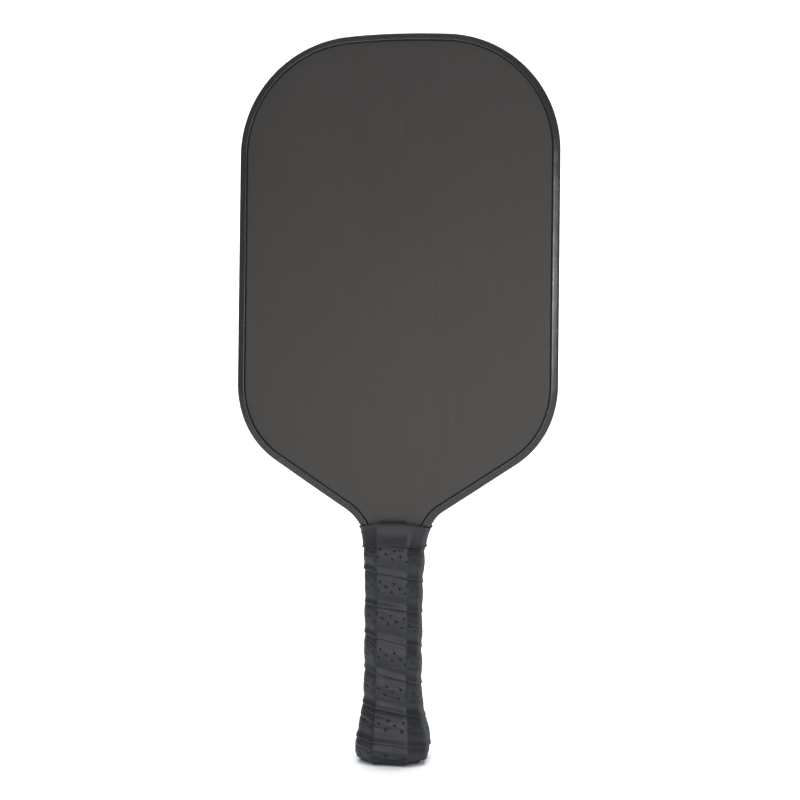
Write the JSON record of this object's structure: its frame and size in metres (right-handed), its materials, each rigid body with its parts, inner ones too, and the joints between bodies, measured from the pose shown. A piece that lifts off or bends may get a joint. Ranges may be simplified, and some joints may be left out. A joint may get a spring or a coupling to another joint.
{
  "type": "pickleball paddle",
  "caption": "Elongated pickleball paddle: raw carbon faces on a honeycomb core, glossy edge guard, rubber collar and a perforated wrapped grip.",
  "frame": {"origin": "middle of the butt's flat bottom face, with the paddle standing upright on its butt", "axes": "+Z along the paddle from the butt to the top of the blade; +Y through the thickness, from the front face to the back face; +X across the blade, to the right as seen from the front"},
  "size_m": [0.1854, 0.0374, 0.419],
  "materials": {
    "core_plastic": "matt, slightly translucent polypropylene honeycomb",
    "scrim_fabric": "non-woven polyester scrim",
    "glass_ply": "epoxy glass-fibre ply, matt",
    "carbon_face": "raw carbon fibre, matt with a fine peel-ply grain",
    "guard_plastic": "glossy extruded black plastic",
    "tape_adhesive": "double-sided tape",
    "pallet_foam": "dense black moulded polyurethane",
    "cap_plastic": "moulded black plastic",
    "staple_steel": "bright wire",
    "grip_leather": "perforated cushioned synthetic leather, satin",
    "finishing_tape": "thin black tape",
    "collar_rubber": "satin black elastic"
  },
  "bodies": {
    "root": {"honeycomb_core": "core_plastic", "front_scrim": "scrim_fabric", "back_scrim": "scrim_fabric", "front_glass_ply": "glass_ply", "back_glass_ply": "glass_ply", "front_carbon_face": "carbon_face", "back_carbon_face": "carbon_face", "edge_guard": "guard_plastic", "edge_guard_tape": "tape_adhesive", "handle_pallet_front": "pallet_foam", "handle_pallet_back": "pallet_foam", "butt_cap": "cap_plastic", "butt_cap_staples": "staple_steel", "grip_tape": "grip_leather", "finishing_tape": "finishing_tape", "collar": "collar_rubber"}
  },
  "joints": []
}
